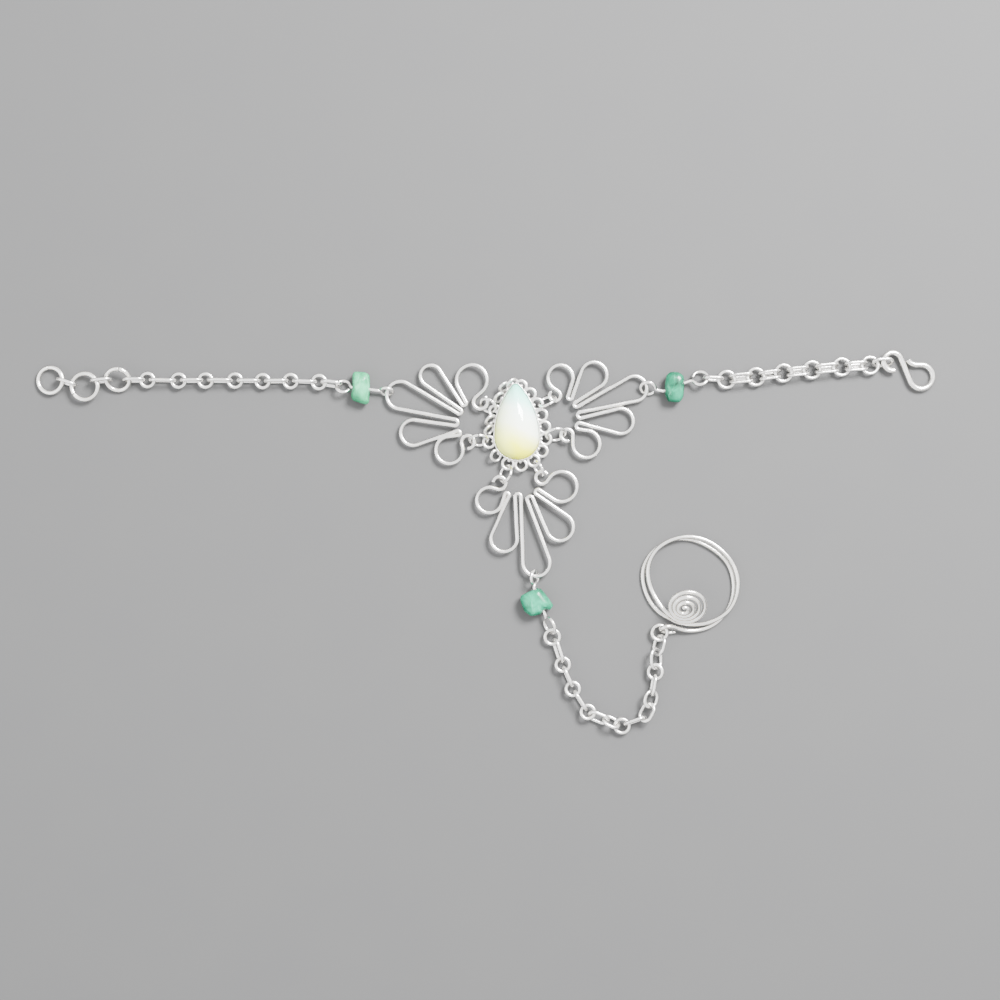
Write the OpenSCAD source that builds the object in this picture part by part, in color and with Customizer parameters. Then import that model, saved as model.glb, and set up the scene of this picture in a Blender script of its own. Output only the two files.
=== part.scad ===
// Hand chain bracelet of bent silver-coloured wire, lying open and unclasped on a flat surface.
// Frame: X runs to the right along the wrist chain, Y up the page, Z up from the surface at Z = 0.
// Origin: the centre of the setting's flat back. All sizes are in millimetres.

/* [Wire] */
// Diameter of the wire of the three fans
fan_wire = 0.8; // [0.6:0.05:0.85]
// Diameter of the wire of the small loops round the stone
border_wire = 0.62; // [0.5:0.02:0.66]
// Diameter of the wire of the jump rings between the fans and the setting
link_wire = 0.62; // [0.5:0.02:0.7]
// Diameter of the wire that runs through each bead
pin_wire = 0.66; // [0.5:0.02:0.7]
// Diameter of the wire of the chain's own links
chain_wire = 0.7; // [0.5:0.05:0.75]
// Diameter of the wire of the three end rings
end_wire = 0.9; // [0.7:0.05:1]
// Diameter of the wire of the hook
hook_wire = 1.15; // [0.9:0.05:1.2]
// Diameter of the wire of the finger ring
ring_wire = 0.84; // [0.6:0.02:0.84]

/* [Stone and setting] */
// Radius of the stone's round lower end
stone_r = 4.4; // [4.2:0.1:4.5]
// Radius of the stone's long curved sides
stone_side_r = 16; // [15:0.5:17]
// Radius of the stone's upper tip
stone_tip_r = 0.9; // [0.8:0.1:1.3]
// Turn of the stone's tip towards the left, in degrees
stone_lean = 1.5; // [0:0.5:3]
// Height of the stone from its flat base to the top of its dome
stone_h = 4.5; // [3.5:0.1:5]
// Height of the stone's upright edge below the dome
stone_edge = 1.2; // [0.8:0.1:1.5]
// Thickness of the setting's back plate
plate_t = 0.6; // [0.5:0.1:0.8]
// Thickness of the bezel strip
bezel_t = 0.3; // [0.25:0.05:0.35]
// Height of the bezel strip above the surface
bezel_h = 2.3; // [2.1:0.1:2.6]
// Radius of one border loop, at the middle of its wire
loop_r = 1.1; // [1:0.05:1.15]

/* [Resting heights] */
// Height of the border loops and of the fans' eyes above the surface
near_z = 1.5; // [1.45:0.01:1.55]
// Height of the two side fans at their outer end
side_far_z = 1.15; // [1.1:0.01:1.2]
// Height of the bottom fan at its outer end
bottom_far_z = 1.65; // [1.6:0.01:1.7]

/* [Chains] */
// Outer diameter of each chain, over its links
chain_d = 3.2; // [2.8:0.1:3.4]

/* [Finger ring] */
// Radius that the insets of the finger ring's turns are measured from
ring_r = 10; // [9.9:0.02:10.1]
// Tilt of the spiral's face from level
spiral_tilt = 32; // [28:1:35]
// Number of turns in the spiral
spiral_turns = 3.7; // [3.4:0.1:3.7]

/* [Hidden] */

silver = [0.86, 0.86, 0.84];
mint = [0.56, 0.94, 0.75];
opal = [0.9, 0.97, 0.9];
$fn = 48;
gap = 0.05;      // play between the stone and its bezel

// ---------- small helpers ----------

function unit(v) = v / norm(v);
function wrap360(a) = a - 360 * floor(a / 360);

// One span of a smooth curve through four points, at t from 0 to 1 between the middle two
function span_pt(a, b, c, d, t) =
    0.5 * (2 * b + (c - a) * t + (2 * a - 5 * b + 4 * c - d) * t * t + (3 * b - a - 3 * c + d) * t * t * t);

// Smooth curve through the points P, with m steps to a span
function curve(P, m) = concat(
    [for (i = [0:len(P) - 2]) for (k = [0:m - 1])
        span_pt(P[max(i - 1, 0)], P[i], P[i + 1], P[min(i + 2, len(P) - 1)], k / m)],
    [P[len(P) - 1]]);

// Direction of the route P at its point i
function heading(P, i) = unit(P[min(i + 1, len(P) - 1)] - P[max(i - 1, 0)]);

// Cross-section of n points and radius r, square to the route P at its point i
function section(P, i, r, n) = let (
    t = heading(P, i),
    s = unit(cross([0, 0, 1], t)),
    u = cross(t, s))
    [for (k = [0:n - 1]) let (a = 360 * (k + 0.5) / n) P[i] + r * (cos(a) * s + sin(a) * u)];

// Sections along a route that climbs and turns: each one's side direction is the last one's, squared up
function carried_sides(P, i, side) = let (
    t = heading(P, i),
    s = unit(side - t * (side * t)))
    i == len(P) - 1 ? [s] : concat([s], carried_sides(P, i + 1, s));
function carried(P, r, n) = let (sides = carried_sides(P, 0, cross(heading(P, 0), [0.3, 0.2, 1])))
    [for (i = [0:len(P) - 1]) let (t = heading(P, i), s = sides[i], u = cross(t, s))
        [for (k = [0:n - 1]) let (a = 360 * (k + 0.5) / n) P[i] + r * (cos(a) * s + sin(a) * u)]];

// Closed skin over a stack of m sections of n points each
module skin(sections) {
    m = len(sections);
    n = len(sections[0]);
    polyhedron(
        points = [for (s = sections) each s],
        faces = concat(
            [[for (k = [0:n - 1]) k]],
            [for (i = [0:m - 2]) for (k = [0:n - 1]) let (k2 = (k + 1) % n)
                each [[i * n + k, (i + 1) * n + k2, i * n + k2],
                      [i * n + k, (i + 1) * n + k, (i + 1) * n + k2]]],
            [[for (k = [n - 1:-1:0]) (m - 1) * n + k]]),
        convexity = 10);
}

// Round bar of diameter d swept along the route P with n sides
module swept(P, d, n) {
    skin([for (i = [0:len(P) - 1]) section(P, i, d / 2, n)]);
}

// Ring of round wire: radius r at the middle of its wire
module wire_ring(r, d) {
    rotate_extrude() translate([r, 0]) circle(d = d);
}

// Oval link, long way along X, lying flat: outer length, outer width, wire diameter
module oval_link(length, width, d) {
    r = (width - d) / 2;
    s = (length - width) / 2;
    for (e = [0, 180]) rotate([0, 0, e]) {
        translate([s, 0, 0]) rotate([0, 0, -90]) rotate_extrude(angle = 180) translate([r, 0]) circle(d = d);
        translate([-s, r, 0]) rotate([0, 90, 0]) cylinder(h = 2 * s, d = d);
    }
}

// ---------- wire bent round pegs ----------
// A peg row is [x, y, radius of the bend at the middle of the wire, turn], turn 1 counter-clockwise.

// Heading of the straight run from peg p to peg q
function run_dir(p, q) = atan2(q[1] - p[1], q[0] - p[0])
    - asin((q[2] * q[3] - p[2] * p[3]) / norm([q[0] - p[0], q[1] - p[1]]));
// Point where a run with heading a touches peg p
function run_pt(p, a) = [p[0] + p[2] * p[3] * sin(a), p[1] - p[2] * p[3] * cos(a)];

// Points along the bend round peg p from heading a to heading b, one for each step of peg_step degrees
peg_step = 20;
function bend_pts(p, a, b) = let (
    sweep = wrap360(p[3] * (b - a)),
    m = max(2, ceil(sweep / peg_step)))
    [for (i = [0:m]) let (h = a + p[3] * sweep * i / m) [each run_pt(p, h), 0]];

// Route of a flat wire round all the pegs, wrapped by wrap_a degrees on the first and wrap_b on the last.
// A first peg of no radius is a plain end.
function pegged_route(pegs, wrap_a, wrap_b) = let (
    n = len(pegs),
    dirs = [for (i = [0:n - 2]) run_dir(pegs[i], pegs[i + 1])])
    [for (i = [0:n - 1]) let (
        a = i == 0 ? dirs[0] - pegs[0][3] * wrap_a : dirs[i - 1],
        b = i == n - 1 ? dirs[n - 2] + pegs[n - 1][3] * wrap_b : dirs[i])
        each (pegs[i][2] > 0 ? bend_pts(pegs[i], a, b) : [[pegs[i][0], pegs[i][1], 0]])];

module pegged_wire(pegs, d, wrap_a, wrap_b) {
    swept(pegged_route(pegs, wrap_a, wrap_b), d, 8);
}

// ---------- the fans ----------
// Each fan is one wire: an eye, five lobes with a tight fold between each two, and an eye.
// Columns: x, y, bend radius, turn.
left_pegs = [
    [ -7.3,   4.2, 1.40, -1],   // upper eye
    [ -9.0,   8.6, 3.05,  1],   // lobe 1
    [-10.6,   4.0, 0.48, -1],
    [-17.2,   9.5, 2.10,  1],   // lobe 2
    [-11.5,   2.3, 0.48, -1],
    [-23.3,   5.6, 2.75,  1],   // lobe 3
    [-12.4,   0.1, 0.62, -1],
    [-20.7,  -1.9, 2.55,  1],   // lobe 4
    [-11.8,  -2.0, 0.48, -1],
    [-13.5,  -5.4, 2.70,  1],   // lobe 5
    [ -9.8,  -3.8, 1.30, -1]];  // lower eye
right_pegs = [
    [  7.6,   5.5, 1.10,  1],   // upper eye
    [  8.7,   9.1, 2.50, -1],   // lobe 1
    [ 10.6,   5.2, 0.48,  1],
    [ 15.4,   9.6, 2.60, -1],   // lobe 2
    [ 11.9,   3.7, 0.48,  1],
    [ 23.5,   6.9, 2.50, -1],   // lobe 3
    [ 12.7,   1.6, 0.60,  1],
    [ 20.8,   0.4, 2.50, -1],   // lobe 4
    [ 12.5,  -0.6, 0.65,  1],
    [ 13.9,  -4.2, 2.70, -1],   // lobe 5
    [ 10.0,  -2.4, 1.20,  1]];  // lower eye
bottom_pegs = [
    [ -3.5, -12.0, 1.30, -1],   // left eye
    [ -5.5, -15.4, 2.55,  1],   // lobe 1
    [ -2.0, -14.4, 0.48, -1],
    [ -2.6, -23.1, 2.60,  1],   // lobe 2
    [  0.2, -14.7, 0.60, -1],
    [  3.9, -27.9, 2.70,  1],   // lobe 3
    [  2.6, -15.2, 0.60, -1],
    [  8.6, -20.8, 2.70,  1],   // lobe 4
    [  4.2, -13.8, 0.55, -1],
    [  9.0, -12.7, 3.00,  1],   // lobe 5
    [  5.0, -10.9, 1.25, -1]];  // right eye

module fan_left() {
    color(silver) translate([-8, 0, near_z]) rotate([0, -asin((near_z - side_far_z) / 18), 0])
        translate([8, 0, 0]) pegged_wire(left_pegs, fan_wire, 280, 290);
}
module fan_right() {
    color(silver) translate([8, 0, near_z]) rotate([0, asin((near_z - side_far_z) / 18), 0])
        translate([-8, 0, 0]) pegged_wire(right_pegs, fan_wire, 280, 290);
}
module fan_bottom() {
    color(silver) translate([0, -11.5, near_z]) rotate([-asin((bottom_far_z - near_z) / 19), 0, 0])
        translate([0, 11.5, 0]) pegged_wire(bottom_pegs, fan_wire, 280, 290);
}

// ---------- stone and setting ----------
pear_y = -2.9;                                   // height of the stone's widest line
side_x = stone_side_r - stone_r;                 // centre of the right side's arc is at -side_x
tip_y = sqrt(pow(stone_side_r - stone_tip_r, 2) - pow(side_x, 2));   // above the widest line
side_end = acos(side_x / (stone_side_r - stone_tip_r));
pear_n = 10;                                     // steps to each arc

// Pear outline with its tip straight up, grown by g, counter-clockwise from the widest point on the right
function upright_pear(g) = concat(
    [for (i = [0:pear_n - 1]) let (a = side_end * i / pear_n)
        [-side_x + (stone_side_r + g) * cos(a), (stone_side_r + g) * sin(a)]],
    [for (i = [0:7]) let (a = side_end + (180 - 2 * side_end) * i / 8)
        [(stone_tip_r + g) * cos(a), tip_y + (stone_tip_r + g) * sin(a)]],
    [for (i = [0:pear_n - 1]) let (a = 180 - side_end * (1 - i / pear_n))
        [side_x + (stone_side_r + g) * cos(a), (stone_side_r + g) * sin(a)]],
    [for (i = [0:2 * pear_n - 1]) let (a = 180 + 180 * i / (2 * pear_n))
        [(stone_r + g) * cos(a), (stone_r + g) * sin(a)]]);
// The same, leaning by stone_lean about the middle of its round end
function pear(g) = [for (p = upright_pear(g))
    [p[0] * cos(stone_lean) - p[1] * sin(stone_lean), pear_y + p[0] * sin(stone_lean) + p[1] * cos(stone_lean)]];

// The dome narrows towards this point of the outline
dome_c = [0, -1.6];
dome_rows = 8;
module stone() {
    z0 = plate_t + gap;
    rise = stone_h - stone_edge;
    function layer(k, z) = [for (p = pear(0)) [dome_c[0] + (p[0] - dome_c[0]) * k, dome_c[1] + (p[1] - dome_c[1]) * k, z]];
    color(opal) skin(concat(
        [layer(0.96, z0), layer(1, z0 + 0.2)],
        [for (i = [0:dome_rows]) let (a = 86 * i / dome_rows)
            layer(cos(a), z0 + stone_edge + rise * sin(a))]));
}

// The border's small loops. Columns: x, y, direction of the axis that the loop leans about, lean.
loops = [
    [ 0.8,  7.4,   0,  0],
    [ 2.6,  5.8,   0,  0],
    [ 4.0,  3.8,   0,  0],
    [ 4.9,  1.6,   0,  0],
    [ 5.5, -0.8,   0,  0],
    [ 5.7, -3.2,   0,  0],
    [ 5.0, -5.6,   0,  0],
    [ 3.3, -7.5,   0,  0],
    [ 0.8, -8.4,   0,  0],
    [-1.8, -8.1,   0,  0],
    [-4.2, -6.5,  60, 35],
    [-5.6, -3.8,   0,  0],
    [-5.6, -1.4,  48, 60],
    [-5.3,  0.6,  40, 60],
    [-4.4,  2.4,   0,  0],
    [-3.5,  5.1,  42, 55],
    [-2.5,  7.2,  38, 55],
    [-1.0,  7.9,  40, 58]];

module setting() {
    color(silver) difference() {
        union() {
            linear_extrude(bezel_h) polygon(pear(gap + bezel_t));
            for (row = loops) translate([row[0], row[1], near_z]) rotate([0, 0, row[2]]) rotate([row[3], 0, 0])
                wire_ring(loop_r, border_wire);
        }
        translate([0, 0, plate_t]) linear_extrude(10) polygon(pear(gap));
    }
}

// ---------- jump rings between the fans' eyes and the border ----------
// A jump ring passes through the points a and b, both near_z high, and tilts about the line between
// them: 0 is flat and 90 upright. Its middle is on the upper side.
module jump_ring(a, b, r, tilt) {
    half = norm(b - a) / 2;
    lift = sqrt(r * r - half * half);
    translate([(a[0] + b[0]) / 2, (a[1] + b[1]) / 2, near_z])
        rotate([0, 0, atan2(b[1] - a[1], b[0] - a[0])]) rotate([tilt, 0, 0])
        translate([0, lift, 0]) wire_ring(r, link_wire);
}
module link_upper_left() { color(silver) jump_ring([-7.19, 4.31], [-4.43, 2.52], 1.65, 48); }
module link_lower_left() { color(silver) jump_ring([-9.4, -3.7], [-5.9, -3.65], 1.8, 58); }
module link_upper_right() { color(silver) jump_ring([7.4, 5.25], [4.4, 3.8], 1.74, 65); }
module link_lower_right() { color(silver) jump_ring([6, -2.95], [9.65, -2.25], 1.93, 56); }
module link_bottom_left() { color(silver) jump_ring([-1.8, -8.5], [-3.15, -11.65], 1.75, 57); }
module link_bottom_right() { color(silver) jump_ring([3.45, -7.75], [4.95, -10.5], 1.6, 68); }

// ---------- beads and their pins ----------
// A pin runs straight through its bead and ends in a turned eye on each side.
// Columns of an end: x, y, z where the straight part ends, then x, y, z of the eye's middle,
// eye radius, and tilt of the eye's plane about the line to it: 0 is flat, 90 upright.
pin_neck = 0.45;
function pin_end(row) = let (
    from = [row[0], row[1], row[2]],
    v = [row[3], row[4], row[5]] - from,
    reach = norm([v[0], v[1]]),
    head = atan2(v[1], v[0]),
    r = row[6],
    back = sqrt(pow(r + pin_neck + 0.06, 2) - pin_neck * pin_neck),
    flat = pegged_route([[0, 0, 0, 1], [reach - back, -pin_neck, pin_neck, -1], [reach, 0, r, 1]], 0, 308))
    [for (p = flat) let (x = p[0], y = p[1] * cos(row[7]), z = p[1] * sin(row[7]) + v[2] * p[0] / reach)
        from + [x * cos(head) - y * sin(head), x * sin(head) + y * cos(head), z]];
module pin(end_a, end_b) {
    half_a = pin_end(end_a);
    half_b = pin_end(end_b);
    skin(carried(concat([for (i = [len(half_a) - 1:-1:0]) half_a[i]], half_b), pin_wire / 2, 8));
}
// Round hole along a pin's straight part, for its bead
module pin_bore(end_a, end_b) {
    a = [end_a[0], end_a[1], end_a[2]];
    b = [end_b[0], end_b[1], end_b[2]];
    v = b - a;
    translate((a + b) / 2) rotate([0, 0, atan2(v[1], v[0])]) rotate([0, 90 - asin(v[2] / norm(v)), 0])
        cylinder(h = 12, d = pin_wire + 0.2, center = true);
}
left_pin = [[-32.8, 7.08, 1.48, -34.75, 7.3, 1.48, 1.40, 36], [-29.1, 6.66, 1.47, -26.05, 6.3, 1.47, 1.26, 59]];
right_pin = [[29.3, 6.35, 1.43, 26.16, 6.98, 1.32, 1.46, -39], [34.0, 8.2, 1.44, 36.61, 8.98, 1.42, 1.49, -28]];
bottom_pin = [[3.4, -33.0, 1.87, 3.5, -30.8, 1.85, 1.38, 60], [5.3, -37.6, 1.95, 6.52, -40.43, 1.91, 1.7, 60]];

module pin_left() { color(silver) pin(left_pin[0], left_pin[1]); }
module pin_right() { color(silver) pin(right_pin[0], right_pin[1]); }
module pin_bottom() { color(silver) pin(bottom_pin[0], bottom_pin[1]); }

// A chip bead is a stack of outlines. Outline columns: x, y. Layer columns: z, scale, shift x, shift y.
module chip(c, outline, layers) {
    skin([for (l = layers) [for (p = outline)
        [c[0] + l[2] + p[0] * l[1], c[1] + l[3] + p[1] * l[1], l[0]]]]);
}
left_chip = [[1.9, 0.9], [1.0, 2.5], [0.0, 3.4], [-1.4, 3.2], [-1.75, 1.4], [-1.85, -0.9], [-1.5, -2.5],
    [0.0, -3.35], [1.3, -3.2], [1.75, -1.2]];
right_chip = [[1.9, 0.6], [1.75, 2.2], [0.8, 3.0], [-0.9, 3.0], [-1.75, 2.2], [-1.95, 0.6], [-1.95, -1.4],
    [-1.3, -2.9], [0.9, -3.1], [1.7, -2.0]];
bottom_chip = [[3.2, -0.8], [2.2, 0.7], [0.9, 2.4], [0.1, 2.7], [-1.4, 2.0], [-3.2, 1.2], [-3.4, 0.2],
    [-2.6, -1.9], [-1.2, -3.0], [0.5, -2.9], [1.7, -2.4], [2.7, -1.75]];

module bead_left() {
    color(mint) difference() {
        chip([-31.2, 7.1], left_chip, [[0.02, 0.62, -0.1, 0], [0.7, 0.9, 0, 0], [2.15, 1, 0, 0],
            [3.0, 0.86, 0, 0.1], [3.6, 0.5, -0.2, 0.2]]);
        pin_bore(left_pin[0], left_pin[1]);
    }
}
module bead_right() {
    color(mint) difference() {
        chip([31.5, 7.2], right_chip, [[0.02, 0.6, 0, 0], [0.7, 0.92, 0, 0], [2.1, 1, 0, 0],
            [3.1, 0.88, 0, 0.1], [3.7, 0.55, 0.1, 0.3]]);
        pin_bore(right_pin[0], right_pin[1]);
    }
}
module bead_bottom() {
    color(mint) difference() {
        chip([4.0, -35.6], bottom_chip, [[0.02, 0.6, 0, 0], [0.9, 0.93, 0, 0], [2.65, 1, 0, 0],
            [3.3, 0.86, 0, 0.1], [3.9, 0.55, -0.2, 0.2]]);
        pin_bore(bottom_pin[0], bottom_pin[1]);
    }
}

// ---------- chains ----------
// Routes of the chains' middles, as they lie. Columns: x, y.
left_route = [[-39.6, 8.2], [-45.3, 8.4], [-50.9, 8.4], [-56.4, 8.5], [-62.3, 8.5], [-67.6, 8.5], [-73.3, 8.6]];
right_route = [[42.1, 8.8], [47.9, 9.4], [53.3, 10.0], [59.0, 10.6], [65.0, 11.2], [70.6, 11.5]];
finger_route = [[7.7, -45.2], [8.9, -48.4], [11.2, -53.0], [13.9, -57.7], [17.4, -60.0], [21.5, -60.8],
    [24.9, -59.0], [26.6, -55.4], [27.5, -51.0], [28.0, -47.6], [28.2, -44.8]];
// A chain seen whole: eight flats over the links, resting on the surface
module chain_tube(route, steps) {
    d = chain_d / cos(22.5);
    color(silver) swept([for (p = curve(route, steps)) [p[0], p[1], chain_d / 2 + 0.02]], d, 8);
}
module chain_left() { chain_tube(left_route, 1); }
module chain_right() { chain_tube(right_route, 1); }
module chain_finger() { chain_tube(finger_route, 2); }

// One oval link of a chain. Columns: middle x, y, z, outer length, outer width, heading, tilt, pitch.
module chain_link(at, size, dir, tilt, pitch) {
    color(silver) translate(at) rotate([0, 0, dir]) rotate([0, pitch, 0]) rotate([tilt, 0, 0])
        oval_link(size[0], size[1], chain_wire);
}
module chain_left_link_in() { chain_link([-37.1, 7.85, 1.6], [4.5, 3.0], -8, 69, 0); }
module chain_left_link_out() { chain_link([-76.5, 8.6, 1.75], [4.7, 3.0], 0, 80, 0); }
module chain_right_link_in() { chain_link([39.24, 8.87, 1.61], [4.5, 3.0], -3, 79, 0); }
module chain_right_link_out() { chain_link([73.11, 12.13, 1.38], [4.5, 3.0], 4, 58, 0); }
module chain_finger_link_in() {
    color(silver) translate([7.06, -42.76, 1.44]) rotate([6.5, 0, 0]) wire_ring(1.47, chain_wire);
}
module chain_finger_link_out() {
    color(silver) translate([28.51, -41.92, 1.25]) wire_ring(1.5, chain_wire);
}

// ---------- end rings, end links and hook ----------
// Columns of a ring: middle x, y, z, radius, lean about X, lean about Y.
module end_ring(x, y, z, r, lean_x, lean_y) {
    color(silver) translate([x, y, z]) rotate([lean_x, lean_y, 0]) wire_ring(r, end_wire);
}
module end_ring_1() { end_ring(-93.4, 8.6, 0.95, 2.55, 0, -9); }
module end_ring_2() { end_ring(-86.4, 7.3, 1.55, 2.6, 0, 0); }
module end_ring_3() { end_ring(-79.78, 8.67, 1.75, 2.35, 28, 0); }
module end_link_1() { chain_link([-90.0, 8.1, 1.57], [4.6, 3.0], -18, 79, 0); }
module end_link_2() { chain_link([-83.05, 8.5, 1.71], [4.6, 3.1], 5, 80, 0); }

// Columns: x, y, bend radius, turn.
hook_pegs = [
    [75.1, 12.3, 1.8, -1],      // closed eye
    [80.9,  9.3, 2.4,  1],      // bowl
    [79.9, 13.6, 1.9, -1]];     // turned-out tip
hook_low = 0.6;                 // height of the bowl's far side
module s_hook() {
    color(silver) translate([83.3, 0, hook_low]) rotate([0, 4.4, 0]) translate([-83.3, 0, 0])
        pegged_wire(hook_pegs, hook_wire, 262, 60);
}

// ---------- finger ring ----------
ring_c = [34.7, -32.1];        // middle of the finger ring
// The wire's end hooks round the chain's last ring. Columns: x, y from the ring's middle, z.
ring_end = [[-2.9, -9.8, 0.46], [-4.0, -9.85, 0.45], [-5.1, -9.8, 0.46], [-5.9, -9.45, 0.80],
    [-6.0, -9.1, 1.55], [-5.5, -8.7, 2.25], [-4.7, -8.5, 2.4], [-3.7, -8.6, 2.1], [-2.65, -9.0, 1.5]];
// Two turns of the coil. Columns: angle, inset from ring_r, height.
coil = [
    [262, 0.55, 1.00], [275, 0.5, 0.60], [300, 0.5, 0.45], [330, 0.9, 0.44], [360, 1.3, 0.44], [385, 1.5, 0.44],
    [410, 1.8, 0.44], [430, 1.7, 0.44], [450, 1.2, 0.44], [470, 0.6, 0.44], [490, 0.3, 0.44], [510, 0.1, 0.44],
    [525, 0.2, 0.44], [550, 0.9, 0.44], [575, 1.4, 0.44], [600, 1.8, 0.45], [618, 1.8, 0.48], [632, 1.8, 0.60],
    [645, 1.6, 0.82], [660, 1.3, 1.12], [675, 0.9, 1.30], [690, 0.6, 1.35], [720, 0.5, 1.34], [745, 0.7, 1.33],
    [770, 0.9, 1.33], [800, 0.7, 1.33], [830, 0.5, 1.35], [855, 0.4, 1.35], [875, 0.8, 1.32], [900, 1.8, 1.26],
    [918, 2.4, 1.38], [934, 2.6, 1.70], [950, 2.5, 1.82]];
// The spiral: a shallow cone of wire on a tilted face
spiral_c = [33.80, -36.38, 3.33];
spiral_r = 4.05;
spiral_in = 0.45;
spiral_dome = 1.6;
function spiral_pt(t) = let (
    a = 232 + 360 * spiral_turns * t,
    r = spiral_r - (spiral_r - spiral_in) * t,
    u = r * cos(a) - 0.7 * t,
    v = r * sin(a),
    w = spiral_dome * t)
    [spiral_c[0] + u,
     spiral_c[1] + v * cos(spiral_tilt) - w * sin(spiral_tilt),
     spiral_c[2] + v * sin(spiral_tilt) + w * cos(spiral_tilt)];
coil_rows = curve(coil, 3);
ring_route = concat(
    [for (p = curve(ring_end, 3)) [ring_c[0] + p[0], ring_c[1] + p[1], p[2]]],
    [for (q = coil_rows) [ring_c[0] + (ring_r - q[1]) * cos(q[0]), ring_c[1] + (ring_r - q[1]) * sin(q[0]), q[2]]],
    [for (i = [0:76]) spiral_pt(i / 76)]);
module finger_ring() { color(silver) skin(carried(ring_route, ring_wire / 2, 8)); }

stone();
setting();
fan_left();
fan_right();
fan_bottom();
link_upper_left();
link_lower_left();
link_upper_right();
link_lower_right();
link_bottom_left();
link_bottom_right();
bead_left();
pin_left();
bead_right();
pin_right();
bead_bottom();
pin_bottom();
chain_left();
chain_left_link_in();
chain_left_link_out();
chain_right();
chain_right_link_in();
chain_right_link_out();
chain_finger();
chain_finger_link_in();
chain_finger_link_out();
end_ring_1();
end_ring_2();
end_ring_3();
end_link_1();
end_link_2();
s_hook();
finger_ring();
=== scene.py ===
import bpy
import numpy as np
from math import sin, cos, asin, acos, atan2, degrees, radians, hypot, sqrt, pi
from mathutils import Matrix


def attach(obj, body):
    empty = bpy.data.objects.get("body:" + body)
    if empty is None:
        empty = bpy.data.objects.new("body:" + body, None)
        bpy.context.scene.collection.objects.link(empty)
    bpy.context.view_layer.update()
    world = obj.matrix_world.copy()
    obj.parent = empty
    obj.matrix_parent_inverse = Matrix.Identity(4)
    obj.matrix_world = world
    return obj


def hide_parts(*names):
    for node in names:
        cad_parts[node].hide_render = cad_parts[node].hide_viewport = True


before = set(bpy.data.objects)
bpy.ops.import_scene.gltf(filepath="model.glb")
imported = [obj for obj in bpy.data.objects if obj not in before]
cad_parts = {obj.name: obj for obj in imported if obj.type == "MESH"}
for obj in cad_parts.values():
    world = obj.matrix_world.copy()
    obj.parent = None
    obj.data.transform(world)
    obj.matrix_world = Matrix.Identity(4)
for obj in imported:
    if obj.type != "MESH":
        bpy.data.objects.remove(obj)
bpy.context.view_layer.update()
MM = 0.001

# ------------------------------------------------------------------ geometry helpers (millimetres)


def rx(a):
    c, s = cos(radians(a)), sin(radians(a))
    return np.array([[1, 0, 0], [0, c, -s], [0, s, c]])


def ry(a):
    c, s = cos(radians(a)), sin(radians(a))
    return np.array([[c, 0, s], [0, 1, 0], [-s, 0, c]])


def rz(a):
    c, s = cos(radians(a)), sin(radians(a))
    return np.array([[c, -s, 0], [s, c, 0], [0, 0, 1]])


def run_dir(p, q):
    return degrees(atan2(q[1] - p[1], q[0] - p[0])) - degrees(
        asin((q[2] * q[3] - p[2] * p[3]) / hypot(q[0] - p[0], q[1] - p[1])))


def run_pt(p, a):
    return (p[0] + p[2] * p[3] * sin(radians(a)), p[1] - p[2] * p[3] * cos(radians(a)))


def pegged(pegs, wrap_a, wrap_b, step=0.12):
    """Centreline of a flat wire bent round pegs [x, y, bend radius, turn]."""
    n = len(pegs)
    dirs = [run_dir(pegs[i], pegs[i + 1]) for i in range(n - 1)]
    out = []
    for i in range(n):
        p = pegs[i]
        t = p[3]
        a = dirs[0] - t * wrap_a if i == 0 else dirs[i - 1]
        b = dirs[-1] + t * wrap_b if i == n - 1 else dirs[i]
        if p[2] > 0:
            sw = (t * (b - a)) % 360
            k = max(6, int(radians(sw) * p[2] / step))
            for j in range(k + 1):
                h = radians(a + t * sw * j / k)
                out.append((p[0] + p[2] * t * sin(h), p[1] - p[2] * t * cos(h), 0))
        elif i == 0:
            out.append((p[0], p[1], 0))
        if i < n - 1:
            f, g = run_pt(p, dirs[i]), run_pt(pegs[i + 1], dirs[i])
            k = max(2, int(hypot(g[0] - f[0], g[1] - f[1]) / (step * 1.6)))
            for j in range(1, k):
                out.append((f[0] + (g[0] - f[0]) * j / k, f[1] + (g[1] - f[1]) * j / k, 0))
    return np.array(out)


def circle(r, n=72, start=0.0, seam=0.0):
    """Ring, open by seam millimetres where it was cut."""
    if seam:
        d = degrees(seam / r / 2)
        a = np.radians(start + np.linspace(d, 360 - d, n))
    else:
        a = np.radians(start) + np.linspace(0, 2 * pi, n, endpoint=False)
    return np.stack([r * np.cos(a), r * np.sin(a), 0 * a], 1)


def oval(length, width, d, step=0.12):
    r, s = (width - d) / 2, (length - width) / 2
    out = []
    k = max(10, int(pi * r / step))
    m = max(2, int(2 * s / step))
    for j in range(k + 1):
        a = -pi / 2 + pi * j / k
        out.append((s + r * cos(a), r * sin(a), 0))
    out += [(s - 2 * s * j / m, r, 0) for j in range(1, m)]
    for j in range(k + 1):
        a = pi / 2 + pi * j / k
        out.append((-s + r * cos(a), r * sin(a), 0))
    out += [(-s + 2 * s * j / m, -r, 0) for j in range(1, m)]
    return np.array(out)


def span_pt(a, b, c, d, t):
    return 0.5 * (2 * b + (c - a) * t + (2 * a - 5 * b + 4 * c - d) * t * t + (3 * b - a - 3 * c + d) * t ** 3)


def curve(P, m):
    P = np.array(P, float)
    n = len(P)
    out = [span_pt(P[max(i - 1, 0)], P[i], P[i + 1], P[min(i + 2, n - 1)], k / m)
           for i in range(n - 1) for k in range(m)]
    return np.array(out + [P[-1]])


def evenly(P, step):
    L = np.r_[0, np.cumsum(np.linalg.norm(np.diff(P, axis=0), axis=1))]
    n = max(4, int(round(L[-1] / step)) + 1)
    s = np.linspace(0, L[-1], n)
    return np.stack([np.interp(s, L, P[:, k]) for k in range(3)], 1)


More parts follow.
